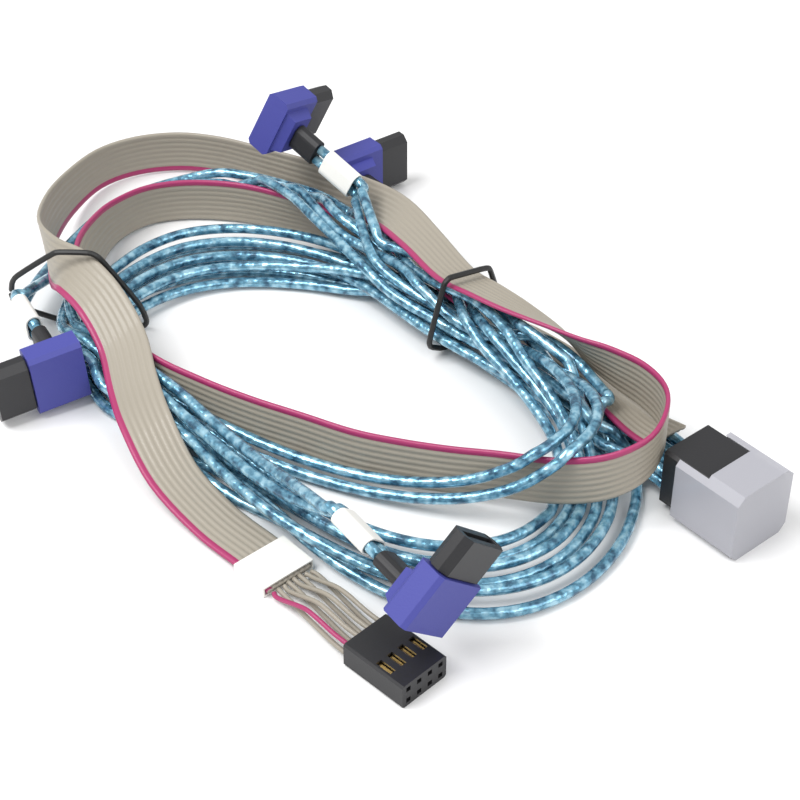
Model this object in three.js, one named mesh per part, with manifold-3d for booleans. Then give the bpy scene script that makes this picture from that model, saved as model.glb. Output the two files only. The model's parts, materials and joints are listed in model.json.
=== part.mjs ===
// A mini SAS breakout cable: one capped host plug, eight twin-axial strands to four
// right-angle SATA plugs, and an eight-way ribbon to a 2 x 4 socket, tied in two places.
// Millimetres, +Z up, the cap's underside centre at the origin.
import * as THREE from 'three';
import { mergeVertices } from 'three/addons/utils/BufferGeometryUtils.js';
import Module from 'manifold-3d';

const wasm = await Module();
wasm.setup();

// Fits
const seatGap = 0.3;
const wrapGap = 0.3;
const crowdGap = 0.6;
const settleGap = 0.3;

// Strands
const strandDia = 2.2;
const strandSides = 8;
const ringStep = 10;
const ringTurn = 0.3;
const ringsMost = 84;
const pairPitch = 2.7;
const paceSample = 1;
const bendPace = 16;

// Ribbon
const ribbonWays = 8;
const ribbonPitch = 1.27;
const ribbonThick = 0.9;
const ribbonStep = 8;
const wireDia = 0.9;

// Host plug
const hostLength = 11;
const hostWidth = 12.2;
const hostHeight = 12.5;
const hostRearX = -11.5;
const noseLength = 6.2;
const noseWidth = 6.9;
const noseHeight = 11.4;
const cardThick = 1.2;
const cardHeight = 9.6;
const cardSlotDepth = 5;
const cardSetback = 0.6;
const hostEdge = 0.6;

// Dust cap
const capLength = 15;
const capWall = 1;
const capEdge = 1.6;
const capTopCut = 7;

// SATA plugs
const mouldLength = 10.8;
const mouldWidth = 13.9;
const mouldThick = 5.7;
const mouldEdge = 0.8;
const bossLength = 7.4;
const bossWidth = 10;
const bossHeight = 2.4;
const bossTaper = 0.8;
const bossSetback = 1.2;
const shellLength = 7.2;
const shellWidth = 12.8;
const shellThick = 4.6;
const shellCorner = 1.4;
const bladeWidth = 10.4;
const bladeThick = 1.5;
const bladeLeg = 1.3;
const bladeDepth = 5.6;
const contactCount = 7;
const contactPitch = 1.27;
const contactWidth = 0.6;
const contactThick = 0.3;
const contactLength = 4.4;
const contactBar = 0.8;

// Sleeves and wrap labels
const sleeveLength = 6.2;
const sleeveWall = 0.55;
const labelWall = 0.3;
const labelLength = 8.6;
const labelStandoff = 3;

// Ribbon label
const ribbonLabelLength = 8.5;

// 2 x 4 socket
const socketPitch = 2.54;
const socketColumns = 4;
const socketRows = 2;
const socketLength = 14;
const socketEdge = 0.4;
const cavitySide = 1.7;
const cavityFront = 2.6;
const mouthSide = 1.0;
const windowLength = 3.4;
const windowWidth = 1.2;
const windowSetback = 3.6;
const terminalSide = 1.1;
const terminalLength = 6.2;
const wireEntry = 1.6;

// Wire ties
const tieWire = 1.2;
const tieSteps = 44;
const tieReach = 15;

const ribbonWidth = ribbonWays * ribbonPitch;
const strandRadius = strandDia / 2;
const capWidth = hostWidth + 2 * (capWall + seatGap);
const capHeight = hostHeight + 2 * (capWall + seatGap);
const socketWidth = socketColumns * socketPitch + 0.3;
const socketHeight = socketRows * socketPitch;
const up = new THREE.Vector3(0, 0, 1);

// Where the pieces lie: [x, y, z] of a piece's own centre, with the way it points
const hostPlace = { at: [60.3, -37, 0], turn: -50 };
const socketPlace = { at: [0.4, -82, 0], turn: -44.7 };
const plugPlaces = [
  { at: [-26, 69, 24.5], mates: [0.56, 0.79, -0.25], leaves: [0.66, -0.65, -0.32] },
  { at: [-10, 74.5, 7.1], mates: [0.8, 0.6, 0], leaves: [0.6, -0.8, 0] },
  { at: [-67.8, -2, 8.6], mates: [-0.87, -0.48, -0.07], leaves: [-0.45, 0.87, 0.04] },
  { at: [5.4, -70.6, 14.4], mates: [0.6, 0.36, 0.72], leaves: [-0.62, 0.77, 0.13] },
];

const tiePlaces = [
  { name: 'tie_left', at: [-70, 24, 9.5], along: [-0.1, -1, -0.2], slack: 1 },
  { name: 'tie_right', at: [13, 18.5, 9.5], along: [-0.66, 0.74, 0.1], slack: 0.1 },
];

const slots = {
  housing: new THREE.MeshStandardMaterial({ color: 0x17171a, roughness: 0.5 }),
  cap: new THREE.MeshStandardMaterial({
    color: 0xd5d6da, roughness: 0.4, transparent: true, opacity: 0.6,
  }),
  card: new THREE.MeshStandardMaterial({ color: 0x1f5c3a, roughness: 0.5 }),
  mould: new THREE.MeshStandardMaterial({ color: 0x34398c, roughness: 0.6 }),
  shell: new THREE.MeshStandardMaterial({ color: 0x1b1b1d, roughness: 0.45 }),
  gold: new THREE.MeshStandardMaterial({ color: 0xc9a24a, roughness: 0.3, metalness: 1 }),
  sleeve: new THREE.MeshStandardMaterial({ color: 0x141416, roughness: 0.6 }),
  label: new THREE.MeshStandardMaterial({ color: 0xe4e2dc, roughness: 0.7 }),
  strand: new THREE.MeshStandardMaterial({ color: 0x7fb4cf, roughness: 0.25, metalness: 0.3 }),
  ribbon: new THREE.MeshStandardMaterial({ color: 0x9a9488, roughness: 0.6 }),
  tie: new THREE.MeshStandardMaterial({ color: 0x121212, roughness: 0.5 }),
};

const cable = new THREE.Group();

function addPiece(parent, name, geometry, slot) {
  const mesh = new THREE.Mesh(geometry, slots[slot]);
  mesh.name = name;
  parent.add(mesh);
  return mesh;
}

function toSolid(geometry) {
  const bare = new THREE.BufferGeometry();
  bare.setAttribute('position', geometry.getAttribute('position').clone());
  if (geometry.index) bare.setIndex(geometry.index.clone());
  const merged = mergeVertices(bare, 1e-5);
  return new wasm.Manifold(new wasm.Mesh({
    numProp: 3,
    vertProperties: new Float32Array(merged.getAttribute('position').array),
    triVerts: new Uint32Array(merged.index.array),
  }));
}

function toGeometry(solid) {
  const mesh = solid.getMesh();
  const geometry = new THREE.BufferGeometry();
  geometry.setAttribute('position', new THREE.BufferAttribute(mesh.vertProperties.slice(), 3));
  geometry.setIndex(new THREE.BufferAttribute(mesh.triVerts.slice(), 1));
  return geometry;
}

function block(x0, x1, y0, y1, z0, z1) {
  const geometry = new THREE.BoxGeometry(x1 - x0, y1 - y0, z1 - z0);
  return geometry.translate((x0 + x1) / 2, (y0 + y1) / 2, (z0 + z1) / 2);
}

function cutAll(geometry, cuts) {
  return toGeometry(cuts.reduce((solid, cut) => solid.subtract(toSolid(cut)), toSolid(geometry)));
}

// A prism along +X with its corners cut at 45 degrees
function chamferedPrism(x0, x1, width, height, corner) {
  const w = width / 2;
  const h = height / 2;
  const outline = new THREE.Shape([
    [-w + corner, -h], [w - corner, -h], [w, -h + corner], [w, h - corner],
    [w - corner, h], [-w + corner, h], [-w, h - corner], [-w, -h + corner],
  ].map(([x, y]) => new THREE.Vector2(x, y)));
  const geometry = new THREE.ExtrudeGeometry(outline, { depth: x1 - x0, bevelEnabled: false });
  geometry.applyMatrix4(new THREE.Matrix4().makeBasis(
    new THREE.Vector3(0, 1, 0), new THREE.Vector3(0, 0, 1), new THREE.Vector3(1, 0, 0)));
  return geometry.translate(x0, 0, 0);
}

// Rings of points joined side by side, with flat ends unless the body closes on itself
function loft(rings, closed = false) {
  const count = rings[0].length;
  const positions = rings.flat().flatMap((p) => [p.x, p.y, p.z]);
  const index = [];
  const spans = closed ? rings.length : rings.length - 1;
  for (let i = 0; i < spans; i += 1) {
    const a = i * count;
    const b = ((i + 1) % rings.length) * count;
    for (let j = 0; j < count; j += 1) {
      const k = (j + 1) % count;
      index.push(a + j, a + k, b + k, a + j, b + k, b + j);
    }
  }
  if (!closed) {
    const last = (rings.length - 1) * count;
    for (let j = 1; j < count - 1; j += 1) {
      index.push(0, j + 1, j, last, last + j, last + j + 1);
    }
  }
  const geometry = new THREE.BufferGeometry();
  geometry.setAttribute('position', new THREE.Float32BufferAttribute(positions, 3));
  geometry.setIndex(index);
  return geometry;
}

// A curve whose even steps are closer together where it bends
class PacedCurve extends THREE.CatmullRomCurve3 {
  constructor(points) {
    super(points, false, 'centripetal');
    const count = Math.round(this.getLength() / paceSample);
    const tangents = Array.from({ length: count + 1 }, (_, i) => this.getTangent(i / count));
    const places = Array.from({ length: count + 1 }, (_, i) => this.getPoint(i / count));
    this.pace = [0];
    for (let i = 1; i <= count; i += 1) {
      const turn = tangents[i].angleTo(tangents[i - 1]);
      this.pace.push(this.pace[i - 1] + places[i].distanceTo(places[i - 1]) + bendPace * turn);
    }
  }

  getUtoTmapping(u) {
    if (!this.pace) return super.getUtoTmapping(u);
    const last = this.pace.length - 1;
    const target = u * this.pace[last];
    let i = 1;
    while (i < last && this.pace[i] < target) i += 1;
    const span = this.pace[i] - this.pace[i - 1];
    return Math.min(1, (i - 1 + (target - this.pace[i - 1]) / span) / last);
  }
}

// A curve whose even steps are its own points
class RingCurve extends THREE.CatmullRomCurve3 {
  constructor(points) {
    super(points, false, 'centripetal');
  }

  getUtoTmapping(u) {
    return u;
  }
}

function tubeAlong(curve, diameter, steps) {
  const outline = new THREE.Shape();
  for (let i = 0; i < strandSides; i += 1) {
    const angle = (2 * Math.PI * i) / strandSides;
    const x = (diameter / 2) * Math.cos(angle);
    const y = (diameter / 2) * Math.sin(angle);
    if (i === 0) outline.moveTo(x, y);
    else outline.lineTo(x, y);
  }
  return new THREE.ExtrudeGeometry(outline, { extrudePath: curve, steps, bevelEnabled: false });
}

function tube(points, diameter, step) {
  const curve = new PacedCurve(points);
  return tubeAlong(curve, diameter, Math.max(2, Math.round(curve.getLength() / step)));
}

// An oval band or plug about two strands that run side by side along +Z
function ovalOutline(width, thick) {
  const r = thick / 2;
  const half = width / 2 - r;
  const outline = new THREE.Shape();
  outline.absarc(half, 0, r, -Math.PI / 2, Math.PI / 2, false);
  outline.absarc(-half, 0, r, Math.PI / 2, (3 * Math.PI) / 2, false);
  return outline;
}

function ovalPlug(z0, z1, width, thick) {
  const geometry = new THREE.ExtrudeGeometry(ovalOutline(width, thick), {
    depth: z1 - z0, bevelEnabled: false, curveSegments: 5,
  });
  return geometry.rotateZ(Math.PI / 2).translate(0, 0, z0);
}

function ovalBand(z0, z1, width, thick, wall) {
  const outline = ovalOutline(width, thick);
  outline.holes.push(ovalOutline(width - 2 * wall, thick - 2 * wall));
  const geometry = new THREE.ExtrudeGeometry(outline, {
    depth: z1 - z0, bevelEnabled: false, curveSegments: 5,
  });
  return geometry.rotateZ(Math.PI / 2).translate(0, 0, z0);
}

// Host plug: X is the mating direction, Z is up, the cap's underside centre is the origin
const hostMid = capHeight / 2;
const hostFrontX = hostRearX + hostLength;

function hostHousing() {
  const body = chamferedPrism(hostRearX, hostFrontX, hostWidth, hostHeight, hostEdge);
  const nose = chamferedPrism(hostFrontX - 1, hostFrontX + noseLength, noseWidth, noseHeight, hostEdge);
  const front = hostFrontX + noseLength;
  const slotHalf = cardThick / 2 + seatGap;
  const slotTall = cardHeight / 2 + seatGap;
  const slot = block(front - cardSlotDepth, front + 1, -slotHalf, slotHalf, -slotTall, slotTall);
  const solid = toSolid(body).add(toSolid(nose)).subtract(toSolid(slot));
  return toGeometry(solid).translate(0, 0, hostMid);
}

function paddleCard() {
  const front = hostFrontX + noseLength;
  const back = front - cardSlotDepth + seatGap;
  return block(back, front - cardSetback, -cardThick / 2, cardThick / 2,
    hostMid - cardHeight / 2, hostMid + cardHeight / 2);
}

function dustCap() {
  const outer = chamferedPrism(-capLength / 2, capLength / 2, capWidth, capHeight, capEdge);
  const inner = chamferedPrism(-capLength / 2 - 1, capLength / 2 - capWall,
    capWidth - 2 * capWall, capHeight - 2 * capWall, capEdge - capWall * 0.6);
  const top = block(-capLength / 2 - 1, -capLength / 2 + capTopCut,
    -capWidth / 2 + capWall, capWidth / 2 + 1, capHeight / 2 - 1.5 * capWall, capHeight);
  return cutAll(outer, [inner, top]).translate(0, 0, hostMid);
}

const host = new THREE.Group();
host.position.set(...hostPlace.at);
host.rotation.z = THREE.MathUtils.degToRad(hostPlace.turn);
cable.add(host);
addPiece(host, 'host_housing', hostHousing(), 'housing');
addPiece(host, 'host_paddle_card', paddleCard(), 'card');
addPiece(host, 'host_dust_cap', dustCap(), 'cap');

// SATA plugs: X is the mating direction, Z the way the pair of strands leaves
const bossMid = -bossSetback;
const bossTop = mouldThick / 2 + bossHeight;
const sleeveTop = bossTop + seatGap + sleeveLength;
const pairStart = sleeveTop + seatGap;

function mould() {
  const body = chamferedPrism(-mouldLength / 2, mouldLength / 2, mouldWidth, mouldThick, mouldEdge);
  const wide = [bossLength / 2, bossWidth / 2];
  const ring = (z, inset) => [[-1, -1], [1, -1], [1, 1], [-1, 1]].map(([x, y]) =>
    new THREE.Vector3(bossMid + x * (wide[0] - inset), y * (wide[1] - inset), z));
  const boss = loft([ring(0, 0), ring(mouldThick / 2, 0), ring(bossTop, bossTaper)]);
  return toGeometry(toSolid(body).add(toSolid(boss)));
}

function matingShell() {
  const back = mouldLength / 2 + seatGap;
  const front = back + shellLength;
  const outer = chamferedPrism(back, front, shellWidth, shellThick, shellCorner);
  const blade = block(front - bladeDepth, front + 1, -bladeWidth / 2, bladeWidth / 2,
    -bladeThick / 2, bladeThick / 2);
  const leg = block(front - bladeDepth, front + 1, bladeWidth / 2 - bladeThick / 2, bladeWidth / 2,
    0, bladeThick / 2 + bladeLeg);
  return cutAll(outer, [blade, leg]);
}

// Seven contacts on one carrier bar against the slot's lower wall
function contactComb() {
  const front = mouldLength / 2 + seatGap + shellLength;
  const back = front - bladeDepth + seatGap;
  const low = -bladeThick / 2 + seatGap / 2;
  const reach = ((contactCount - 1) * contactPitch + contactWidth) / 2;
  let solid = toSolid(block(back, back + contactBar, -reach, reach, low, low + contactThick));
  for (let i = 0; i < contactCount; i += 1) {
    const y = (i - (contactCount - 1) / 2) * contactPitch;
    solid = solid.add(toSolid(block(back, back + contactLength,
      y - contactWidth / 2, y + contactWidth / 2, low, low + contactThick)));
  }
  return toGeometry(solid);
}

const sleeveWidth = pairPitch + strandDia + 2 * sleeveWall;
const sleeveThick = strandDia + 2 * sleeveWall;
const labelWidth = pairPitch + strandDia + 2 * (wrapGap + labelWall);
const labelThick = strandDia + 2 * (wrapGap + labelWall);

function plugFrame(place) {
  const x = new THREE.Vector3(...place.mates).normalize();
  const z = new THREE.Vector3(...place.leaves);
  z.addScaledVector(x, -z.dot(x)).normalize();
  const y = new THREE.Vector3().crossVectors(z, x);
  return new THREE.Matrix4().makeBasis(x, y, z).setPosition(...place.at);
}

const plugFrames = plugPlaces.map(plugFrame);
plugFrames.forEach((frame, i) => {
  const plug = new THREE.Group();
  plug.applyMatrix4(frame);
  cable.add(plug);
  addPiece(plug, `sata_${i + 1}_overmould`, mould(), 'mould');
  addPiece(plug, `sata_${i + 1}_shell`, matingShell(), 'shell');
  addPiece(plug, `sata_${i + 1}_contacts`, contactComb(), 'gold');
  const sleeve = ovalPlug(bossTop + seatGap, sleeveTop, sleeveWidth, sleeveThick);
  addPiece(plug, `sata_${i + 1}_sleeve`, sleeve.translate(bossMid, 0, 0), 'sleeve');
  const labelStart = sleeveTop + labelStandoff;
  const label = ovalBand(labelStart, labelStart + labelLength, labelWidth, labelThick, labelWall);
  addPiece(plug, `sata_${i + 1}_label`, label.translate(bossMid, 0, 0), 'label');
});

// Ribbon route: centre x, y, z and the lean of its marked edge, in degrees from upright,
// towards the right hand of travel. It starts at the host plug and ends in its label.
const ribbonRoute = [
  [49.6, -24.2, 10.6, -90], [46, -19, 9.6, -85], [40, -8, 8.4, -75], [33, 3, 8, -75],
  [26, 11, 7.6, -75], [20.5, 17, 7.2, -70], [15, 23.5, 7, -66], [9.5, 31, 6.6, -60],
  [3, 40, 6.2, -55], [-5.5, 48.5, 6, -44], [-16, 56, 5.7, -20], [-27, 61.5, 5.6, -5],
  [-37, 65, 5.6, 0], [-48, 66, 5.6, 0], [-57, 63.5, 5.7, 0], [-63, 56, 6.6, 4], [-65.5, 46, 8.6, 12],
  [-66, 34, 11.2, 22], [-64.5, 24, 12.2, 24], [-61.5, 16, 11, 18], [-56.5, 8, 8.4, 4],
  [-49, 0, 6.2, -6], [-39, -7, 5.7, -9], [-29, -13, 5.7, -9], [-19, -18, 5.7, -9],
  [-9, -23, 5.7, -9], [0, -26, 5.8, -9], [9, -28.5, 6.2, -8], [18, -31, 7.2, -6],
  [29, -35, 9, -4], [38, -36.5, 11.5, -2], [45, -34, 14, 0], [48.5, -28, 15.5, 0],
  [49, -21, 15.5, 0], [46, -14, 15, 0], [41, -8, 14.5, -8], [36, -3, 14.5, -25],
  [30, 3, 15.8, -52], [23, 8.5, 16.8, -68], [17, 14, 17, -75], [11, 21.5, 16, -80],
  [4.5, 33.5, 16.2, -88], [-2, 47, 14.4, -108], [-9.5, 60.5, 9.4, -140], [-20, 72.5, 6.2, -165],
  [-32, 80, 5.7, -175], [-42, 85, 5.7, -180], [-52, 87, 5.7, -180], [-62, 85, 5.7, -180],
  [-70, 79, 5.8, -178], [-75, 67, 6.8, -172], [-76.5, 52, 10, -168], [-75.5, 38, 13, -172],
  [-71.5, 27, 14.2, -182], [-66.5, 20, 13.6, -198], [-60.5, 12.5, 13.8, -220], [-55.3, 4, 11.8, -242],
  [-52, -7, 9.6, -256], [-48.5, -17, 8.4, -266], [-42.5, -28, 4.4, -270],
  [-34, -37.5, 1.5, -270], [-25.5, -46, 1.2, -270], [-19.6, -52.6, 1.2, -270],
];

function ribbonCurve(route) {
  const centre = new PacedCurve(route.map(([x, y, z]) => new THREE.Vector3(x, y, z)));
  const lean = new THREE.CatmullRomCurve3(
    route.map(([, , , angle], i) => new THREE.Vector3(i, angle, 0)), false, 'centripetal');
  return (steps) => {
    const rows = [];
    for (let i = 0; i <= steps; i += 1) {
      const t = centre.getUtoTmapping(i / steps);
      const at = centre.getPoint(t);
      const along = centre.getTangent(t);
      const angle = THREE.MathUtils.degToRad(lean.getPoint(t).y);
      const side = new THREE.Vector3().crossVectors(along, up).normalize();
      const rise = new THREE.Vector3().crossVectors(side, along).normalize();
      const edge = rise.multiplyScalar(Math.cos(angle)).addScaledVector(side, Math.sin(angle));
      const face = new THREE.Vector3().crossVectors(along, edge);
      rows.push({ at, along, edge, face });
    }
    return rows;
  };
}

const ribbonAt = ribbonCurve(ribbonRoute);
const ribbonLength = new THREE.CatmullRomCurve3(
  ribbonRoute.map(([x, y, z]) => new THREE.Vector3(x, y, z)), false, 'centripetal').getLength();

const ribbonRings = ribbonAt(Math.round(ribbonLength / ribbonStep));

function ribbonBody() {
  const w = ribbonWidth / 2;
  const h = ribbonThick / 2;
  const nib = ribbonThick / 3;
  const section = [[-w, 0], [-w + nib, -h], [w - nib, -h], [w, 0], [w - nib, h], [-w + nib, h]];
  return loft(ribbonRings.map(({ at, edge, face }) => section.map(([e, f]) =>
    at.clone().addScaledVector(edge, e).addScaledVector(face, f))));
}

addPiece(cable, 'ribbon', ribbonBody(), 'ribbon');

// The ribbon's wrap label sits over its last stretch, which lies flat
function ribbonLabel() {
  const wrap = wrapGap + labelWall;
  const outer = block(-ribbonLabelLength, 0, -ribbonWidth / 2 - wrap, ribbonWidth / 2 + wrap,
    -ribbonThick / 2 - wrap, ribbonThick / 2 + wrap);
  const inner = block(-ribbonLabelLength - 1, 1, -ribbonWidth / 2 - wrapGap, ribbonWidth / 2 + wrapGap,
    -ribbonThick / 2 - wrapGap, ribbonThick / 2 + wrapGap);
  return cutAll(outer, [inner]);
}

// Rows every millimetre or so, straight from one ring of the ribbon to the next
const ribbonEnd = ribbonRings[ribbonRings.length - 1];
const ribbonRows = ribbonRings.slice(1).flatMap((next, i) => {
  const from = ribbonRings[i];
  const count = Math.round(from.at.distanceTo(next.at));
  return Array.from({ length: count }, (_, k) => ({
    at: from.at.clone().lerp(next.at, k / count),
    edge: from.edge.clone().lerp(next.edge, k / count),
  }));
});
ribbonRows.push(ribbonEnd);
const wrapped = new THREE.Group();
wrapped.position.copy(ribbonEnd.at);
wrapped.rotation.z = Math.atan2(ribbonEnd.along.y, ribbonEnd.along.x);
cable.add(wrapped);
addPiece(wrapped, 'ribbon_label', ribbonLabel().translate(-seatGap, 0, 0), 'label');

// 2 x 4 socket: X is the mating direction, the front left lower corner is the origin
const socket = new THREE.Group();
socket.position.set(...socketPlace.at);
socket.rotation.z = THREE.MathUtils.degToRad(socketPlace.turn);
cable.add(socket);

function cavityCentre(column, row) {
  return [
    socketWidth / 2 + (column - (socketColumns - 1) / 2) * socketPitch,
    socketHeight / 2 + (row - (socketRows - 1) / 2) * socketPitch,
  ];
}

function socketHousing() {
  const body = chamferedPrism(-socketLength, 0, socketWidth, socketHeight, socketEdge);
  body.translate(0, socketWidth / 2, socketHeight / 2);
  const cuts = [];
  for (let column = 0; column < socketColumns; column += 1) {
    for (let row = 0; row < socketRows; row += 1) {
      const [y, z] = cavityCentre(column, row);
      const c = cavitySide / 2;
      const m = mouthSide / 2;
      cuts.push(block(-socketLength - 1, -cavityFront, y - c, y + c, z - c, z + c));
      cuts.push(block(-cavityFront - 1, 1, y - m, y + m, z - m, z + m));
      const outer = row === 0 ? -1 : socketHeight + 1;
      cuts.push(block(-windowSetback - windowLength, -windowSetback, y - windowWidth / 2,
        y + windowWidth / 2, Math.min(z, outer), Math.max(z, outer)));
    }
  }
  return cutAll(body, cuts);
}

addPiece(socket, 'socket_housing', socketHousing(), 'housing');
for (let column = 0; column < socketColumns; column += 1) {
  for (let row = 0; row < socketRows; row += 1) {
    const [y, z] = cavityCentre(column, row);
    const t = terminalSide / 2;
    const front = -cavityFront - seatGap;
    const terminal = block(front - terminalLength, front, y - t, y + t, z - t, z + t);
    addPiece(socket, `socket_terminal_${column * socketRows + row + 1}`, terminal, 'gold');
  }
}

// Eight wires fan out of the label into the socket's rear, odd ones to the upper row
function fanWire(way) {
  socket.updateMatrixWorld(true);
  const column = Math.floor(way / socketRows);
  const row = 1 - (way % socketRows);
  const [y, z] = cavityCentre(column, row);
  const start = ribbonEnd.at.clone()
    .addScaledVector(ribbonEnd.edge, -((way - (ribbonWays - 1) / 2) * ribbonPitch))
    .addScaledVector(ribbonEnd.along, seatGap);
  const lead = start.clone().addScaledVector(ribbonEnd.along, 2);
  const rear = -socketLength;
  const entry = [3.2, 0, -wireEntry].map((back) => socket.localToWorld(
    new THREE.Vector3(rear - back, y, z)));
  const middle = lead.clone().lerp(entry[0], 0.5);
  middle.z += row ? 1.6 : 0;
  return tube([start, lead, middle, ...entry], wireDia, wireDia * 2.4);
}

for (let way = 0; way < ribbonWays; way += 1) {
  addPiece(cable, `ribbon_wire_${way + 1}`, fanWire(way), 'ribbon');
}

// Strand routes, each from the host plug to its own SATA plug.
// The first lap is shared in outline: lead, far arc, left tie, near side, right curve.
const farArcs = [
  [[0, 36, 5], [-11, 50, 4], [-22, 57, 4], [-34, 60, 4], [-48, 61, 4], [-58, 60, 4], [-62, 52, 4],
    [-63, 42, 4.6], [-66, 24.9, 5.9]],
  [[1, 35, 3], [-11, 48, 1.6], [-22, 54, 1.4], [-34, 57.5, 1.4], [-47, 58.5, 1.4], [-56, 57, 1.6],
    [-60.5, 50, 1.6], [-62.5, 41, 2], [-66, 25.5, 3.2]],
  [[0, 35, 4], [-11, 47, 4], [-22, 52.5, 4], [-33, 54.5, 4], [-47, 56, 4], [-56, 54, 4],
    [-59.5, 47, 4], [-61, 39, 4.4], [-63.3, 24.6, 5.9]],
  [[1, 34, 2], [-11, 45, 1.4], [-22, 49.5, 1.3], [-33, 51.5, 1.3], [-47, 53, 1.3], [-55, 51, 1.5],
    [-58, 45, 1.5], [-60, 37, 2], [-63.3, 25.2, 3.2]],
  [[0, 34, 4], [-11, 44, 4], [-22, 46.5, 4], [-33, 49, 4], [-47, 50, 4], [-55, 49, 4],
    [-57, 42.5, 4], [-60.4, 35, 5], [-60.6, 24.4, 5.9]],
  [[1, 33, 1.6], [-11, 42.5, 1.3], [-22, 44.5, 1.3], [-33, 46.5, 1.3], [-46, 47.5, 1.3],
    [-54, 46, 1.5], [-56.5, 40.5, 1.5], [-60, 34, 2.4], [-60.6, 24.9, 3.2]],
  [[-1, 33, 4], [-11, 42, 4], [-22, 42.5, 4], [-33, 44, 4], [-46, 45, 4], [-54, 44, 4.2],
    [-55.5, 39, 4.2], [-58.3, 33.5, 5], [-57.9, 24.1, 5.9]],
  [[-1, 32, 1.5], [-11, 40, 1.3], [-22, 41, 1.3], [-33, 42, 1.3], [-45, 43, 1.3], [-53, 42, 1.8],
    [-54.5, 37, 1.8], [-57.6, 32.5, 2.6], [-57.9, 24.7, 3.2]],
];
const tiePins = farArcs.map((arc) => new THREE.Vector3(...arc[arc.length - 1]));
const nearSides = [
  [[-66, 20, 5], [-61.5, 12, 4.8], [-55, 4, 3], [-46, -3, 2], [-33, -13, 1.6], [-19, -23, 1.6],
    [-9, -28.5, 2], [6, -32, 2.6], [17, -35, 5], [26, -38, 9], [33, -38, 15.5], [38, -33, 21],
    [40, -25, 20]],
  [[-65.5, 20, 2.8], [-61, 11, 2], [-55, 3, 1.5], [-46, -4, 1.3], [-34, -15, 1.3], [-20, -26, 1.3],
    [-9, -31.5, 1.3], [6, -35, 1.6], [18, -38, 3.6], [28, -41, 7], [36, -40, 16], [42, -33.5, 22],
    [43, -26, 20.5]],
  [[-64.5, 19, 5], [-61, 11, 4.6], [-56.5, 3, 4], [-49, -4, 3.8], [-38, -17, 3.8], [-27, -29, 3.8],
    [-17, -39, 3.8], [-8, -46, 3.6], [1, -51, 3], [10, -53, 3], [19, -52, 3], [28, -46.5, 3],
    [34, -39.5, 3], [36.5, -31, 3.4], [37, -25, 5]],
  [[-63.5, 19, 2.6], [-60.5, 10, 2], [-56, 1.5, 1.5], [-48, -6, 1.3], [-37, -19, 1.3], [-26, -31, 1.3],
    [-16, -41, 1.3], [-8, -48, 1.3], [1, -53.5, 1.3], [10, -55.5, 1.3], [19, -54.5, 1.3],
    [29, -48.5, 1.3], [35.5, -40.5, 1.3], [39, -31, 1.8], [39.5, -24, 4]],
  [[-63, 18, 5], [-60, 9, 4.4], [-56, 0.5, 4], [-49, -8, 3.8], [-38, -21, 3.8], [-27, -33, 3.8],
    [-17, -43, 3.8], [-8, -50, 3.8], [0, -56, 3.4], [10, -58.5, 2.6], [19, -58, 2.4],
    [29, -53, 2.4], [37, -44.5, 2.4], [41, -34, 2.4], [42, -25, 4]],
  [[-62, 18, 2.6], [-59.5, 8, 1.8], [-55.5, -1, 1.4], [-47, -10, 1.3], [-37, -23, 1.3], [-26, -35, 1.3],
    [-16, -45, 1.3], [-8, -52, 1.3], [0, -58.5, 1.3], [10, -61, 1.3], [20, -60, 1.3],
    [30, -55, 1.3], [38.5, -46, 1.3], [43, -35, 1.3], [44, -26, 3.4]],
  [[-62, 17, 4.8], [-59, 7, 4.2], [-55, -3, 3.8], [-46.5, -12, 3.8], [-36, -24, 3.8],
    [-26, -35.5, 3.8], [-17, -46, 3.6], [-8, -54, 3], [0, -60.5, 3], [9, -62.5, 2.6], [20, -62, 2.4],
    [31, -57, 2.4], [40, -48, 2.2], [44.5, -38, 2.2], [46, -28, 3]],
  [[-61, 16, 2.6], [-58, 6, 1.8], [-54, -4, 1.3], [-45.5, -13, 1.3], [-35, -25, 1.3],
    [-25, -36.5, 1.3], [-16, -46, 1.3], [-9, -56, 1.3], [-1, -63, 1.3], [10, -68, 1.3],
    [21, -67, 1.3], [32, -61, 1.3], [41, -51, 1.3], [46, -40, 1.3], [47.5, -30, 2.4]],
];
const rightRises = [
  [[40, -16, 16], [35, -8, 13], [29, 0, 10.5], [23, 9, 10], [16, 16, 10]],
  [[42.5, -17, 16.5], [37, -9, 13.6], [30, -1, 11], [25, 9, 10], [17, 16, 10.5]],
  [[36, -18, 8], [31, -8, 9.8], [26, 1, 9.8], [19, 9, 9.6], [12, 17, 9.5]],
  [[38, -17, 8.5], [33, -7, 10.2], [27, 2, 10.2], [20, 10, 9.6], [13, 17, 10]],
  [[39, -18, 9], [34, -8, 11.2], [27, 1, 11], [22, 10, 10.2], [14, 18, 10.5]],
  [[41, -18, 9.5], [36, -8, 11.4], [28.5, 2, 11], [23, 10, 10.6], [15, 18, 11]],
  [[43, -20, 9], [38, -9, 12], [30, 1, 11], [22, 8, 9.8], [14, 16, 9]],
  [[44, -22, 8], [38, -12, 11], [31, -1, 10], [22, 7, 9.2], [14, 15, 8.5]],
];
const topEnds = [
  [[8, 22, 10], [0.5, 29, 10.4], [-6.5, 37, 11.8], [-9, 44.5, 14.2]],
  [[9, 23, 11.6], [1.5, 30, 12], [-5, 38, 13.4], [-8, 45.5, 15.6]],
  [[11, 27, 9], [10.5, 34, 8.4], [9, 42, 7]],
  [[12, 27, 10.5], [11.5, 34, 10.4], [9.5, 42, 9.6]],
];
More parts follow.
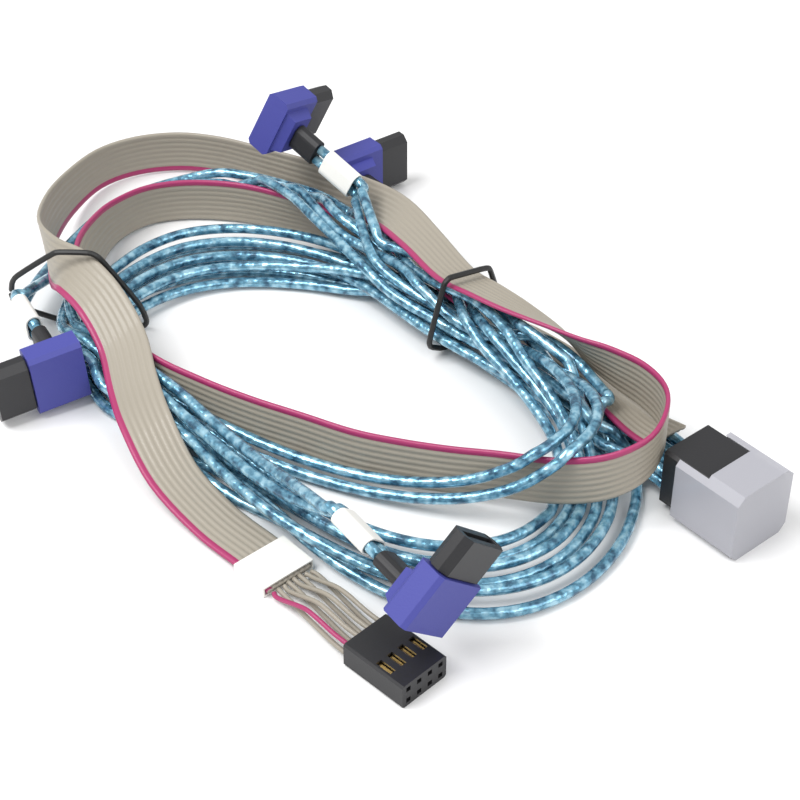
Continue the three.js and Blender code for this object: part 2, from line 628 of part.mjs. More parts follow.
const secondArcs = [
  [[6, 26, 10.6], [-1, 38, 11.2], [-8.5, 50, 11.4], [-17, 62.5, 9.6], [-28, 69.5, 8], [-39, 75.5, 7.5],
    [-50, 78, 7.4], [-60, 76, 7], [-67, 69, 6], [-71.5, 58, 4.8], [-74, 47, 4.6],
    [-76.5, 36, 5.8]],
  [[4, 27, 10.2], [-3.5, 38, 10.6], [-11, 49, 11], [-19, 61.5, 8], [-28, 67.5, 4], [-39, 72.5, 2],
    [-50, 75, 2], [-59, 73, 1.8], [-65, 66, 1.8], [-69, 56, 1.8], [-72, 45, 2],
    [-75.5, 34, 4]],
  [[5.5, 24, 10.6], [-4, 35, 10.8], [-12.5, 47, 11.2], [-20.5, 60, 8.6], [-28, 67, 6.6], [-39, 72, 6],
    [-50, 74, 6], [-58, 72, 6.2], [-64, 65.5, 7.2], [-69, 56, 8.4], [-72, 44, 8.6], [-72, 33, 8]],
  [[4.5, 23.5, 9], [-5.5, 34.5, 10.2], [-14, 46, 11.8], [-19, 54, 12.4], [-24, 62.5, 9], [-31, 66.5, 5], [-39, 69.5, 3.4],
    [-50, 71, 3.4], [-57, 69.5, 3.6], [-62, 63, 4.4], [-67.5, 54, 5.6], [-70.5, 43, 6.4],
    [-71, 32, 6]],
];
const frontEnds = [
  [[-69.5, 22, 7.2], [-63, 12.5, 6.6], [-53.5, 3.5, 6.8], [-43, -6.5, 5.6], [-33, -18.5, 5.6],
    [-26, -33, 6.8], [-18, -43, 8.6]],
  [[-68, 20, 5.4], [-61.5, 11, 5.4], [-53, 1.5, 5.6], [-44, -8.5, 6], [-34, -22, 6.4],
    [-25.5, -35.5, 7.4], [-16.5, -45.5, 9.4]],
];

// A strand's straight start, in two rows of four under the ribbon at the host plug's rear
const hostRear = new THREE.Vector3(hostRearX, 0, 0);
function hostStart(strand) {
  const column = strand % 4;
  const row = Math.floor(strand / 4);
  const y = (column - 1.5) * pairPitch;
  const z = hostMid - 3.6 + row * pairPitch;
  host.updateMatrixWorld(true);
  return [seatGap + 0.1, 3, 6].map((back) => host.localToWorld(
    new THREE.Vector3(hostRear.x - back, y, z)));
}

// A strand's straight end at its SATA plug, through the wrap label into the sleeve
const pairStraight = labelStandoff + labelLength + 3;
function plugEnd(plug, side) {
  const at = (z) => new THREE.Vector3(bossMid, side * pairPitch / 2, pairStart + z)
    .applyMatrix4(plugFrames[plug]);
  return [pairStraight, (2 * pairStraight) / 3, pairStraight / 3, 0].map(at);
}

const leadPoints = [[44, -16.5], [38, -7], [31, 1.5], [24, 8], [17, 13.5], [11, 19], [6, 26]];

function strandPoints(strand) {
  const plug = Math.floor(strand / 2);
  const side = strand % 2 ? 1 : -1;
  const column = (strand % 4) - 1.5;
  const row = Math.floor(strand / 4);
  const lead = leadPoints.map(([x, y], i) => [
    x + column * 2, y + column * 1.9, 1.4 + row * pairPitch + i * 0.25]);
  let route = [...lead, ...farArcs[strand], ...nearSides[strand], ...rightRises[strand]];
  if (plug < 2) route = route.concat(topEnds[strand]);
  else route = route.concat(secondArcs[strand - 4]);
  if (plug === 3) route = route.concat(frontEnds[strand - 6]);
  const middle = route.map(([x, y, z]) => new THREE.Vector3(x, y, z));
  return [...hostStart(strand), ...middle, ...plugEnd(plug, side)];
}

// Strands that crowd each other, the ribbon, a plug or the floor are eased apart along their length
const easeSpacing = 1.25;
const easeRounds = 260;
const easeCell = 4;

function easeNodes(strand) {
  const curve = new THREE.CatmullRomCurve3(strandPoints(strand), false, 'centripetal');
  const length = curve.getLength();
  const count = Math.round(length / easeSpacing);
  const plug = Math.floor(strand / 2);
  return curve.getSpacedPoints(count).map((at, i) => {
    const fromEnd = ((count - i) * length) / count;
    const held = (i * length) / count < 5.6 || fromEnd < pairStraight
      || at.distanceTo(tiePins[strand]) < 2.2;
    const labelled = fromEnd > labelStandoff - 0.6 && fromEnd < labelStandoff + labelLength + 0.6;
    return { at, held, strand, plug, i, radius: strandRadius + (labelled ? wrapGap + labelWall : 0) };
  });
}

function fixedNodes() {
  const nodes = [];
  const put = (at, radius, plug = -1) => nodes.push({ at, held: true, strand: -1, plug, i: 0, radius });
  ribbonRows.forEach(({ at, edge }) => {
    for (let way = 0; way < ribbonWays; way += 1) {
      put(at.clone().addScaledVector(edge, (way - (ribbonWays - 1) / 2) * ribbonPitch),
        ribbonThick / 2);
    }
  });
  plugFrames.forEach((frame, plug) => {
    for (let x = -mouldLength / 2 + 1.3; x <= mouldLength / 2 + shellLength; x += 1.6) {
      for (let y = -mouldWidth / 2 + 1.3; y < mouldWidth / 2 - 1; y += 1.6) {
        put(new THREE.Vector3(x, y, mouldThick / 4).applyMatrix4(frame), mouldThick / 4 + 0.3);
        put(new THREE.Vector3(x, y, -mouldThick / 4).applyMatrix4(frame), mouldThick / 4 + 0.3);
      }
    }
    for (let z = mouldThick / 2 + 1; z < sleeveTop - 0.5; z += 1) {
      put(new THREE.Vector3(bossMid, 0, z).applyMatrix4(frame), z < bossTop ? 4 : 2.6, plug);
    }
  });
  for (let x = -socketLength + 2; x <= -1; x += 2) {
    for (let y = 2; y < socketWidth - 1; y += 2) {
      put(socket.localToWorld(new THREE.Vector3(x, y, socketHeight / 2)), socketHeight / 2 + 0.4);
    }
  }
  for (let x = hostRearX + 3; x < 2; x += 2.5) {
    for (let z = 3; z < hostHeight; z += 2.5) {
      for (let y = -3.4; y < 4; y += 3.4) {
        put(host.localToWorld(new THREE.Vector3(x, y, z)), 3);
      }
    }
  }
  for (let x = 0; x < ribbonLabelLength; x += 1.2) {
    for (let y = -4.6; y <= 4.6; y += 1.15) {
      put(wrapped.localToWorld(new THREE.Vector3(-x, y, 0)), ribbonThick / 2 + 0.7);
    }
  }
  return nodes;
}

function gridOf(nodes) {
  const grid = new Map();
  nodes.forEach((node) => {
    const key = [node.at.x, node.at.y, node.at.z].map((v) => Math.floor(v / easeCell)).join();
    if (!grid.has(key)) grid.set(key, []);
    grid.get(key).push(node);
  });
  return grid;
}

function near(grid, at, found) {
  const [x, y, z] = [at.x, at.y, at.z].map((v) => Math.floor(v / easeCell));
  for (let i = -1; i < 2; i += 1) {
    for (let j = -1; j < 2; j += 1) {
      for (let k = -1; k < 2; k += 1) {
        (grid.get([x + i, y + j, z + k].join()) || []).forEach(found);
      }
    }
  }
}

const skipAlong = Math.ceil((4 * strandDia) / easeSpacing);

function pushOn(node, grid, room) {
  const push = new THREE.Vector3();
  const away = new THREE.Vector3();
  near(grid, node.at, (other) => {
    if (other.strand === node.strand && Math.abs(other.i - node.i) < skipAlong) return;
    const reach = node.radius + other.radius + room;
    away.subVectors(node.at, other.at);
    const gap = away.length();
    if (gap >= reach || gap < 1e-6) return;
    push.addScaledVector(away, ((other.held ? 1 : 0.5) * (reach - gap)) / gap);
  });
  if (push.length() > 0.6) push.setLength(0.6);
  const tied = tiePlaces.some(({ at }) => Math.hypot(node.at.x - at[0], node.at.y - at[1]) < tieReach);
  const low = node.radius + 0.15 + (tied ? tieWire + seatGap : 0) - node.at.z;
  if (low > 0) push.z = Math.max(push.z, low);
  return push;
}

function easeApart(strands, fixed) {
  const fixedGrid = gridOf(fixed);
  for (let round = 0; round < easeRounds; round += 1) {
    const grid = gridOf(strands.flat());
    const reach = round < easeRounds * 0.7 ? 6 : 3;
    strands.forEach((nodes) => {
      const pushes = nodes.map((node) => (node.held ? new THREE.Vector3()
        : pushOn(node, grid, crowdGap).add(pushOn(node, fixedGrid, crowdGap))));
      nodes.forEach((node, i) => {
        if (node.held) return;
        const mean = new THREE.Vector3();
        let weight = 0;
        for (let j = Math.max(0, i - reach); j <= Math.min(nodes.length - 1, i + reach); j += 1) {
          const share = 1 - Math.abs(j - i) / (reach + 1);
          mean.addScaledVector(pushes[j], share);
          weight += share;
        }
        const along = nodes[Math.min(i + 6, nodes.length - 1)].at.clone()
          .sub(nodes[Math.max(i - 6, 0)].at).normalize();
        node.move = mean.multiplyScalar(1.6 / weight).addScaledVector(along, -mean.dot(along));
      });
    });
    strands.forEach((nodes) => {
      nodes.forEach((node) => {
        if (!node.held) node.at.add(node.move);
      });
      const fair = round < easeRounds * 0.8 ? 0.12 : 0.05;
      const before = nodes.map((node) => node.at.clone());
      nodes.forEach((node, i) => {
        if (node.held || i < 5 || i > nodes.length - 6) return;
        const mid = before[i - 5].clone().add(before[i + 5]);
        mid.add(before[i - 2]).add(before[i + 2]).add(before[i - 1]).add(before[i + 1]);
        node.at.lerp(mid.multiplyScalar(1 / 6), fair);
      });
    });
  }
}

// The nodes that carry a strand's rings, closer together where it bends
function ringNodes(nodes) {
  const heading = (i) => nodes[Math.min(i + 1, nodes.length - 1)].at.clone()
    .sub(nodes[Math.max(i - 1, 0)].at);
  let stretch = 1;
  let rings = [];
  while (!rings.length || rings.length > ringsMost) {
    rings = [nodes[0]];
    let from = 0;
    for (let i = 1; i < nodes.length - 3; i += 1) {
      const far = (i - from) * easeSpacing >= ringStep * stretch;
      if (far || heading(i).angleTo(heading(from)) >= ringTurn * stretch) {
        rings.push(nodes[i]);
        from = i;
      }
    }
    rings.push(nodes[nodes.length - 1]);
    stretch *= 1.05;
  }
  return rings;
}

// Points along the straight runs between a strand's rings
function ringSamples(rings) {
  return rings.slice(1).flatMap((next, ring) => {
    const from = rings[ring];
    const count = Math.max(1, Math.round(from.at.distanceTo(next.at) / easeSpacing));
    return Array.from({ length: count }, (_, k) => {
      const share = (k + 0.5) / count;
      return {
        at: from.at.clone().lerp(next.at, share),
        ring,
        share,
        strand: from.strand,
        plug: from.plug,
        i: from.i + (next.i - from.i) * share,
        held: from.held && next.held,
        radius: Math.max(from.radius, next.radius),
      };
    });
  });
}

// The rings take the last small moves, so that the straight runs between them stay apart
const settleRounds = 320;
function settle(strands, fixed) {
  const fixedGrid = gridOf(fixed);
  for (let round = 0; round < settleRounds; round += 1) {
    const samples = strands.map(ringSamples);
    const grid = gridOf(samples.flat());
    strands.forEach((rings, strand) => {
      const moves = rings.map(() => ({ sum: new THREE.Vector3(), weight: 0 }));
      samples[strand].forEach((sample) => {
        if (sample.held) return;
        const push = pushOn(sample, grid, settleGap).add(pushOn(sample, fixedGrid, settleGap));
        if (push.length() < 1e-4) return;
        [[sample.ring, 1 - sample.share], [sample.ring + 1, sample.share]].forEach(([ring, share]) => {
          moves[ring].sum.addScaledVector(push, share);
          moves[ring].weight += share * share;
        });
      });
      rings.forEach((ring, k) => {
        if (ring.held || !moves[k].weight) return;
        ring.at.add(moves[k].sum.multiplyScalar(0.8 / Math.max(moves[k].weight, 0.6)).clampLength(0, 0.25));
        ring.at.z = Math.max(ring.at.z, strandRadius + 0.2);
      });
    });
  }
}

const strandCount = plugPlaces.length * 2;
const strandNodes = Array.from({ length: strandCount }, (_, strand) => easeNodes(strand));
const fixed = fixedNodes();
easeApart(strandNodes, fixed);
const strandRings = strandNodes.map(ringNodes);
settle(strandRings, fixed);
strandRings.forEach((rings, strand) => {
  const plug = Math.floor(strand / 2) + 1;
  const curve = new RingCurve(rings.map(({ at }) => at));
  const body = tubeAlong(curve, strandDia, rings.length - 1);
  addPiece(cable, `strand_${plug}_${(strand % 2) + 1}`, body, 'strand');
});

// Wire ties: each runs round the outline of all that passes through its plane

function outlineOf(points) {
  const sorted = [...points].sort((a, b) => a.x - b.x || a.y - b.y);
  const turn = (o, a, b) => (a.x - o.x) * (b.y - o.y) - (a.y - o.y) * (b.x - o.x);
  const half = (list) => {
    const hull = [];
    list.forEach((p) => {
      while (hull.length > 1 && turn(hull[hull.length - 2], hull[hull.length - 1], p) <= 0) hull.pop();
      hull.push(p);
    });
    return hull.slice(0, -1);
  };
  return [...half(sorted), ...half(sorted.reverse())];
}

function tieGeometry({ at, along, slack }) {
  const centre = new THREE.Vector3(...at);
  const axis = new THREE.Vector3(...along).normalize();
  const u = new THREE.Vector3().crossVectors(up, axis).normalize();
  const v = new THREE.Vector3().crossVectors(axis, u);
  const circles = [];
  const note = (point, radius) => {
    const from = point.clone().sub(centre);
    if (Math.abs(from.dot(axis)) > 2.4 || from.length() > 18) return;
    for (let i = 0; i < 16; i += 1) {
      const angle = (Math.PI * i) / 8;
      circles.push(new THREE.Vector2(
        from.dot(u) + radius * Math.cos(angle), from.dot(v) + radius * Math.sin(angle)));
    }
  };
  const stand = crowdGap + tieWire / 2 + slack;
  strandRings.flatMap(ringSamples).forEach((node) => note(node.at, node.radius + stand));
  ribbonRows.forEach(({ at: mid, edge }) => [-1, -0.5, 0, 0.5, 1].forEach((share) =>
    note(mid.clone().addScaledVector(edge, share * (ribbonWidth / 2)), ribbonThick / 2 + stand)));
  const hull = outlineOf(circles).map((p) => new THREE.Vector3(p.x, p.y, 0));
  const loop = new THREE.CatmullRomCurve3(hull, true, 'centripetal').getSpacedPoints(tieSteps);
  const low = tieWire / 2 + 0.1;
  const points = loop.slice(0, -1).map((p) => {
    const point = centre.clone().addScaledVector(u, p.x).addScaledVector(v, p.y);
    point.z = Math.max(point.z, low);
    return point;
  });
  points.push(points[points.length - 1].clone().lerp(points[0], 0.3));
  return tube(points, tieWire, 1.6);
}

tiePlaces.forEach((place) => addPiece(cable, place.name, tieGeometry(place), 'tie'));

const group = new THREE.Group();
cable.position.set(...hostPlace.at).negate();
group.add(cable);
group.updateMatrixWorld(true);

export default group;
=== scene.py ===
import json
import math

import bmesh
import bpy
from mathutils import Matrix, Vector

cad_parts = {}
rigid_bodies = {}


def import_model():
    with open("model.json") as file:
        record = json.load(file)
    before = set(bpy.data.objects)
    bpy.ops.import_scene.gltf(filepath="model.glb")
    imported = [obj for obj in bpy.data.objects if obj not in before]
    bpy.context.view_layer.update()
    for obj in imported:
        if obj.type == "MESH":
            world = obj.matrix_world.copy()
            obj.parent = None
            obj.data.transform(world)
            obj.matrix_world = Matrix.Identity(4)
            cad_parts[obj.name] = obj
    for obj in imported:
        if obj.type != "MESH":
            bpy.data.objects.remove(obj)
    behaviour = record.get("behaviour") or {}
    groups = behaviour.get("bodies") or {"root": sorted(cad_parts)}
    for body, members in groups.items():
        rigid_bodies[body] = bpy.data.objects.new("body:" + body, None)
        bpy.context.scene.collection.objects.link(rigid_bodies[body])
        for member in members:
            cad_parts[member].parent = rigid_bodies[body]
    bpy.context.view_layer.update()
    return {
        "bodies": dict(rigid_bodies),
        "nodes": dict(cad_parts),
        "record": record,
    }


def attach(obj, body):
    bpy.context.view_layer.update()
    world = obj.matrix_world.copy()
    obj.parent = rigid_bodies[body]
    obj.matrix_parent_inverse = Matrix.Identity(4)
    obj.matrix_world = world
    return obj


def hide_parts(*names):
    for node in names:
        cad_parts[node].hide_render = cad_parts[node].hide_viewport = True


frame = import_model()
nodes = frame["nodes"]
body = list(frame["bodies"])[0]
millimetre = 0.001
up = Vector((0, 0, 1))

# Camera
cameraSet = {
    "place": (-0.0603, -0.2475, 0.2271),
    "tilt": 51.4,
    "lens": 81.6,
    "sensor": 36.0,
    "near": 0.01,
}
cameraData = bpy.data.cameras.new("camera")
cameraData.lens = cameraSet["lens"]
cameraData.sensor_width = cameraSet["sensor"]
cameraData.clip_start = cameraSet["near"]
camera = bpy.data.objects.new("camera", cameraData)
camera.location = cameraSet["place"]
camera.rotation_euler = (math.radians(cameraSet["tilt"]), 0, 0)
bpy.context.scene.collection.objects.link(camera)
bpy.context.scene.camera = camera
print("camera placed")


# Materials
def newMaterial(name):
    material = bpy.data.materials.new(name)
    material.use_nodes = True
    tree = material.node_tree
    return material, tree, tree.nodes["Principled BSDF"]


def setInputs(node, values):
    for name, value in values.items():
        node.inputs[name].default_value = value


def addBump(tree, shader, height, strength, depth):
    bump = tree.nodes.new("ShaderNodeBump")
    setInputs(bump, {"Strength": strength, "Distance": depth})
    tree.links.new(height, bump.inputs["Height"])
    tree.links.new(bump.outputs["Normal"], shader.inputs["Normal"])


# What a plain material has where its own look doesn't say
plainSet = {"metal": 0, "coat": 0, "alpha": 1, "grain": 2500, "bump": 0.05, "bumpDepth": 0.0002}


def plainMaterial(name, ownLook):
    look = {**plainSet, **ownLook}
    material, tree, shader = newMaterial(name)
    setInputs(shader, {
        "Base Color": (*look["colour"], 1),
        "Roughness": look["rough"],
        "Metallic": look["metal"],
        "Coat Weight": look["coat"],
        "Alpha": look["alpha"],
    })
    coords = tree.nodes.new("ShaderNodeTexCoord")
    noise = tree.nodes.new("ShaderNodeTexNoise")
    setInputs(noise, {"Scale": look["grain"]})
    tree.links.new(coords.outputs["Object"], noise.inputs["Vector"])
    addBump(tree, shader, noise.outputs["Fac"], look["bump"], look["bumpDepth"])
    return material


looks = {
    "housing": {"colour": (0.012, 0.012, 0.014), "rough": 0.45, "bump": 0.08},
    "cap": {"colour": (0.4, 0.4, 0.44), "rough": 0.4, "alpha": 0.8, "coat": 0.3},
    "card": {"colour": (0.02, 0.12, 0.06), "rough": 0.5},
    "mould": {"colour": (0.045, 0.05, 0.27), "rough": 0.55, "bump": 0.15},
    "shell": {"colour": (0.012, 0.012, 0.014), "rough": 0.4, "bump": 0.06},
    "gold": {"colour": (0.9, 0.62, 0.22), "rough": 0.25, "metal": 1},
    "sleeve": {"colour": (0.01, 0.01, 0.012), "rough": 0.5},
    "label": {"colour": (0.78, 0.77, 0.73), "rough": 0.6},
    "tie": {"colour": (0.008, 0.008, 0.008), "rough": 0.45},
    "grey": {"colour": (0.3, 0.27, 0.22), "rough": 0.5, "coat": 0.15},
    "magenta": {"colour": (0.33, 0.022, 0.11), "rough": 0.5, "coat": 0.15},
}
paints = {name: plainMaterial(name, look) for name, look in looks.items()}

# Clear blue jacket over crinkled foil: noise gives the colour, cells give the creases
foilSet = {
    "dark": {"at": 0.34, "colour": (0.03, 0.10, 0.17, 1)},
    "middle": {"at": 0.5, "colour": (0.13, 0.33, 0.46, 1)},
    "light": {"at": 0.66, "colour": (0.36, 0.60, 0.72, 1)},
    "noiseScale": 520,
    "noiseDetail": 3,
    "cellsPerNoise": 1.4,
    "bump": 0.5,
    "bumpDepth": 0.0003,
    "rough": 0.22,
    "metal": 0.55,
    "coat": 0.6,
    "coatRough": 0.08,
}


def strandMaterial():
    material, tree, shader = newMaterial("strand")
    coords = tree.nodes.new("ShaderNodeTexCoord")
    noise = tree.nodes.new("ShaderNodeTexNoise")
    setInputs(noise, {"Scale": foilSet["noiseScale"], "Detail": foilSet["noiseDetail"]})
    cells = tree.nodes.new("ShaderNodeTexVoronoi")
    setInputs(cells, {"Scale": foilSet["noiseScale"] * foilSet["cellsPerNoise"]})
    ramp = tree.nodes.new("ShaderNodeValToRGB")
    stops = ramp.color_ramp.elements
    stops[0].position = foilSet["dark"]["at"]
    stops[0].color = foilSet["dark"]["colour"]
    stops[1].position = foilSet["light"]["at"]
    stops[1].color = foilSet["light"]["colour"]
    middle = stops.new(foilSet["middle"]["at"])
    middle.color = foilSet["middle"]["colour"]
    tree.links.new(coords.outputs["Object"], noise.inputs["Vector"])
    tree.links.new(coords.outputs["Object"], cells.inputs["Vector"])
    tree.links.new(noise.outputs["Fac"], ramp.inputs["Fac"])
    tree.links.new(ramp.outputs["Color"], shader.inputs["Base Color"])
    addBump(tree, shader, cells.outputs["Distance"], foilSet["bump"], foilSet["bumpDepth"])
    setInputs(shader, {
        "Roughness": foilSet["rough"],
        "Metallic": foilSet["metal"],
        "Coat Weight": foilSet["coat"],
        "Coat Roughness": foilSet["coatRough"],
    })
    return material


paints["strand"] = strandMaterial()
print("materials made")

# Cords: the rings of each CAD tube give the line that the dressed cord follows
weldDistance = 1e-6


# The first ring is the vertices nearest the start, and each next one is their new neighbours
def ringsOf(node, start, sides):
    mesh = bmesh.new()
    mesh.from_mesh(node.data)
    bmesh.ops.remove_doubles(mesh, verts=mesh.verts, dist=weldDistance)
    mesh.verts.ensure_lookup_table()
    order = sorted(mesh.verts, key=lambda vert: (vert.co - start).length)
    ring = set(order[:sides])
    seen = set(ring)
    rings = []
    while ring:
        rings.append([vert.co.copy() for vert in ring])
        following = set()
        for vert in ring:
            for edge in vert.link_edges:
                other = edge.other_vert(vert)
                if other not in seen:
                    following.add(other)
        seen |= following
        ring = following
    mesh.free()
    return rings


def middleOf(ring):
    return sum(ring, Vector()) / len(ring)


# A Catmull-Rom curve through the points, with its ends run straight on
def smoothLine(points, steps):
    pts = [points[0] * 2 - points[1]] + points + [points[-1] * 2 - points[-2]]
    line = []
    for i in range(1, len(pts) - 2):
        a, b, c, d = pts[i - 1:i + 3]
        for k in range(steps):
            t = k / steps
            line.append(0.5 * ((2 * b) + (c - a) * t + (2 * a - 5 * b + 4 * c - d) * t ** 2
                               + (3 * b - a - 3 * c + d) * t ** 3))
    line.append(points[-1])
    return line


def headingAt(line, i):
    return (line[min(i + 1, len(line) - 1)] - line[max(i - 1, 0)]).normalized()


def addPiece(name, verts, faces, materials):
    mesh = bpy.data.meshes.new(name)
    mesh.from_pydata(verts, [], faces)
    mesh.polygons.foreach_set("use_smooth", [True] * len(mesh.polygons))
    for material in materials:
        mesh.materials.append(material)
    piece = bpy.data.objects.new(name, mesh)
    bpy.context.scene.collection.objects.link(piece)
    return piece


def tubeMesh(name, line, radius, sides, material):
    verts = []
    side = up
    for i, point in enumerate(line):
        along = headingAt(line, i)
        side = (side - along * side.dot(along)).normalized()
        other = along.cross(side)
        for k in range(sides):
            angle = 2 * math.pi * k / sides
            offset = side * math.cos(angle) + other * math.sin(angle)
            verts.append(point + offset * radius)
    faces = []
    for i in range(len(line) - 1):
        for k in range(sides):
            j = (k + 1) % sides
            a, b = i * sides, (i + 1) * sides
            faces.append((a + k, a + j, b + j, b + k))
    faces.append(tuple(range(sides))[::-1])
    faces.append(tuple((len(line) - 1) * sides + k for k in range(sides)))
    return addPiece(name, verts, faces, [material])


# Where a strand leaves the host plug's rear: four columns, two rows
hostSet = {"rear": -11.9, "turn": math.radians(-50), "columns": 4, "pitch": 2.7, "low": 3.95}


def strandStart(strand):
    columns, pitch = hostSet["columns"], hostSet["pitch"]
    x = hostSet["rear"]
    y = (strand % columns - (columns - 1) / 2) * pitch
    z = hostSet["low"] + strand // columns * pitch
    cos, sin = math.cos(hostSet["turn"]), math.sin(hostSet["turn"])
    return Vector((x * cos - y * sin, x * sin + y * cos, z)) * millimetre


# Every strand runs from the host plug's rear to its sleeve
strandSet = {"radius": 1.1 * millimetre, "sides": 12, "cadSides": 8, "steps": 4}
for plug in range(1, 5):
    for side in (1, 2):
        name = f"strand_{plug}_{side}"
        start = strandStart((plug - 1) * 2 + side - 1)
        rings = ringsOf(nodes[name], start, strandSet["cadSides"])
        line = smoothLine([middleOf(ring) for ring in rings], strandSet["steps"])
        piece = tubeMesh(f"dressed_{name}", line, strandSet["radius"], strandSet["sides"],
                         paints["strand"])
        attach(piece, body)
        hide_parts(name)
print("strands laid")

# The ribbon: eight bonded ways, the first one magenta. The groove between two ways is where
# the ribbon is thinnest, as a share of its thickness, and arc is the steps across one way
ribbonSet = {"ways": 8, "pitch": 1.27 * millimetre, "thick": 0.9 * millimetre, "groove": 0.5,
             "steps": 5, "arc": 4}

# x, y, z in millimetres on the photo's floor grid, and the lean of the marked edge in degrees.
# The rows are the source's, but for the four from (-71.5, 27) to (-55.3, 4), where the second
# pass is lifted and turned at the left tie. The ribbon's passes still cut through each other
# there, and once more beside the host plug
ribbonRoute = [
    (49.6, -24.2, 10.6, -90), (46, -19, 9.6, -85), (40, -8, 8.4, -75), (33, 3, 8, -75),
    (26, 11, 7.6, -75), (20.5, 17, 7.2, -70), (15, 23.5, 7, -66), (9.5, 31, 6.6, -60),
    (3, 40, 6.2, -55), (-5.5, 48.5, 6, -44), (-16, 56, 5.7, -20), (-27, 61.5, 5.6, -5),
    (-37, 65, 5.6, 0), (-48, 66, 5.6, 0), (-57, 63.5, 5.7, 0), (-63, 56, 6.6, 4),
    (-65.5, 46, 8.6, 12), (-66, 34, 11.2, 22), (-64.5, 24, 12.2, 24), (-61.5, 16, 11, 18),
    (-56.5, 8, 8.4, 4), (-49, 0, 6.2, -6), (-39, -7, 5.7, -9), (-29, -13, 5.7, -9),
    (-19, -18, 5.7, -9), (-9, -23, 5.7, -9), (0, -26, 5.8, -9), (9, -28.5, 6.2, -8),
    (18, -31, 7.2, -6), (29, -35, 9, -4), (38, -36.5, 11.5, -2), (45, -34, 14, 0),
    (48.5, -28, 15.5, 0), (49, -21, 15.5, 0), (46, -14, 15, 0), (41, -8, 14.5, -8),
    (36, -3, 14.5, -25), (30, 3, 15.8, -52), (23, 8.5, 16.8, -68), (17, 14, 17, -75),
    (11, 21.5, 16, -80), (4.5, 33.5, 16.2, -88), (-2, 47, 14.4, -108), (-9.5, 60.5, 9.4, -140),
    (-20, 72.5, 6.2, -165), (-32, 80, 5.7, -175), (-42, 85, 5.7, -180), (-52, 87, 5.7, -180),
    (-62, 85, 5.7, -180), (-70, 79, 5.8, -178), (-75, 67, 6.8, -172), (-76.5, 52, 10, -168),
    (-75.5, 38, 13, -172), (-71.5, 27, 15, -200), (-66.5, 20, 17.2, -238),
    (-60.5, 12.5, 16, -252), (-55.3, 4, 12.2, -254), (-52, -7, 9.6, -256),
    (-48.5, -17, 8.4, -266), (-42.5, -28, 4.4, -270), (-34, -37.5, 1.5, -270),
    (-25.5, -46, 1.2, -270), (-19.6, -52.6, 1.2, -270),
]
gridCentre = Vector((60.3, -37, 0))


# The ribbon's middle line, and at each point the direction of its marked edge
def ribbonRows():
    points = [(Vector(row[:3]) - gridCentre) * millimetre for row in ribbonRoute]
    leans = [Vector((math.radians(row[3]), 0, 0)) for row in ribbonRoute]
    line = smoothLine(points, ribbonSet["steps"])
    turns = smoothLine(leans, ribbonSet["steps"])
    edges = []
    for i, turn in enumerate(turns):
        along = headingAt(line, i)
        side = along.cross(up).normalized()
        rise = side.cross(along)
        edges.append(rise * math.cos(turn.x) + side * math.sin(turn.x))
    return line, edges


# A row of low arcs, one for each way from the marked edge, and the same row turned over
def ribbonOutline():
    ways, pitch, arc = ribbonSet["ways"], ribbonSet["pitch"], ribbonSet["arc"]
    groove = ribbonSet["groove"]
    radius = ribbonSet["thick"] / 2
    half = pitch / 2
    outline = []
    for way in range(ways):
        centre = ((ways - 1) / 2 - way) * pitch
        for k in range(arc):
            share = -1 + 2 * k / arc
            height = math.sqrt(1 - (1 - groove ** 2) * share * share)
            outline.append((centre - share * half, radius * height))
    outline.append((-ways * half, radius * groove))
    return outline + [(x, -y) for x, y in reversed(outline)]


def ribbonPiece():
    line, edges = ribbonRows()
    outline = ribbonOutline()
    total = len(outline)
    arc = ribbonSet["arc"]
    verts = []
    for i, (point, edge) in enumerate(zip(line, edges)):
        along = headingAt(line, i)
        edge = (edge - along * edge.dot(along)).normalized()
        face = along.cross(edge)
        verts += [point + edge * x + face * y for x, y in outline]
    faces = []
    marks = []
    for i in range(len(line) - 1):
        for k in range(total):
            j = (k + 1) % total
            a, b = i * total, (i + 1) * total
            faces.append((a + k, b + k, b + j, a + j))
            marks.append(1 if k < arc or k >= total - 1 - arc else 0)
    faces.append(tuple(range(total)))
    faces.append(tuple((len(line) - 1) * total + k for k in range(total))[::-1])
    piece = addPiece("dressed_ribbon", verts, faces, [paints["grey"], paints["magenta"]])
    piece.data.polygons.foreach_set("material_index", marks + [0, 0])
    return piece, line


ribbon, ribbonLine = ribbonPiece()
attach(ribbon, body)
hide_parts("ribbon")
print("ribbon laid")

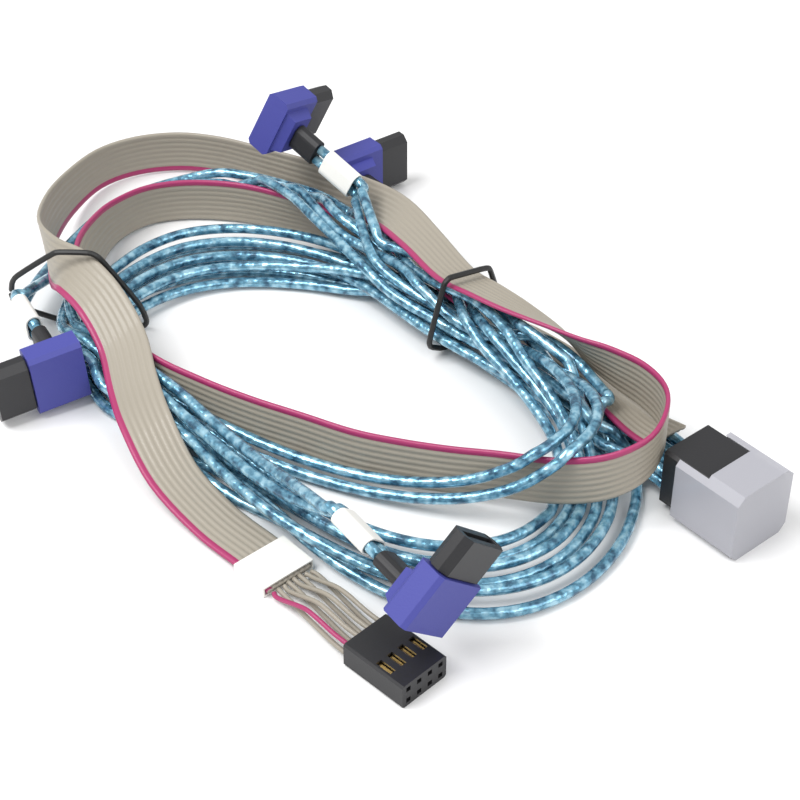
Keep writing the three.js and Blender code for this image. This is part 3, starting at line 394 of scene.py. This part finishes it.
# The eight wires that fan out into the socket. The outer ones start well away from the middle
# of the ribbon's end, so the vertices nearest it come from two rings, and their lines start
# a little off the solids' own
wireSet = {"radius": 0.45 * millimetre, "sides": 10, "cadSides": 8, "steps": 3}
for way in range(1, 9):
    name = f"ribbon_wire_{way}"
    rings = ringsOf(nodes[name], ribbonLine[-1], wireSet["cadSides"])
    line = smoothLine([middleOf(ring) for ring in rings], wireSet["steps"])
    paint = paints["magenta"] if way == 1 else paints["grey"]
    piece = tubeMesh(f"dressed_{name}", line, wireSet["radius"], wireSet["sides"], paint)
    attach(piece, body)
    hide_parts(name)
print("wires laid")

# The rigid pieces keep the solids' shapes and take their slot's material
for part in frame["record"]["subparts"]:
    slot = part["material_slot"]
    if slot in paints:
        node = nodes[part["node"]]
        node.data.materials.clear()
        node.data.materials.append(paints[slot])
print("rigid pieces painted")

# Pale floor and soft studio light
stageSet = {
    "floor": 3.0,
    "floorColour": (0.8, 0.8, 0.8),
    "floorRough": 0.8,
    "aim": (-0.06, 0.03, 0),
    "worldColour": (1, 1, 1, 1),
    "worldStrength": 0.75,
}
lampSets = {
    "key": {"place": (-0.5, -0.1, 0.75), "size": 0.5, "power": 7.04},
    "fill": {"place": (0.5, -0.5, 0.7), "size": 0.7, "power": 3.84},
}
bpy.ops.mesh.primitive_plane_add(size=stageSet["floor"], location=(0, 0, 0))
floor = bpy.context.object
floor.name = "floor"
floorMaterial, floorTree, floorShader = newMaterial("floor")
setInputs(floorShader, {
    "Base Color": (*stageSet["floorColour"], 1),
    "Roughness": stageSet["floorRough"],
})
floor.data.materials.append(floorMaterial)


def softLight(name, lampSet):
    data = bpy.data.lights.new(name, "AREA")
    data.size = lampSet["size"]
    data.energy = lampSet["power"]
    lamp = bpy.data.objects.new(name, data)
    lamp.location = lampSet["place"]
    beam = Vector(stageSet["aim"]) - Vector(lampSet["place"])
    lamp.rotation_euler = beam.to_track_quat("-Z", "Y").to_euler()
    bpy.context.scene.collection.objects.link(lamp)


for name, lampSet in lampSets.items():
    softLight(name, lampSet)
world = bpy.data.worlds.new("world")
world.use_nodes = True
setInputs(world.node_tree.nodes["Background"], {
    "Color": stageSet["worldColour"],
    "Strength": stageSet["worldStrength"],
})
bpy.context.scene.world = world
bpy.context.scene.view_settings.view_transform = "Standard"
print("stage set")
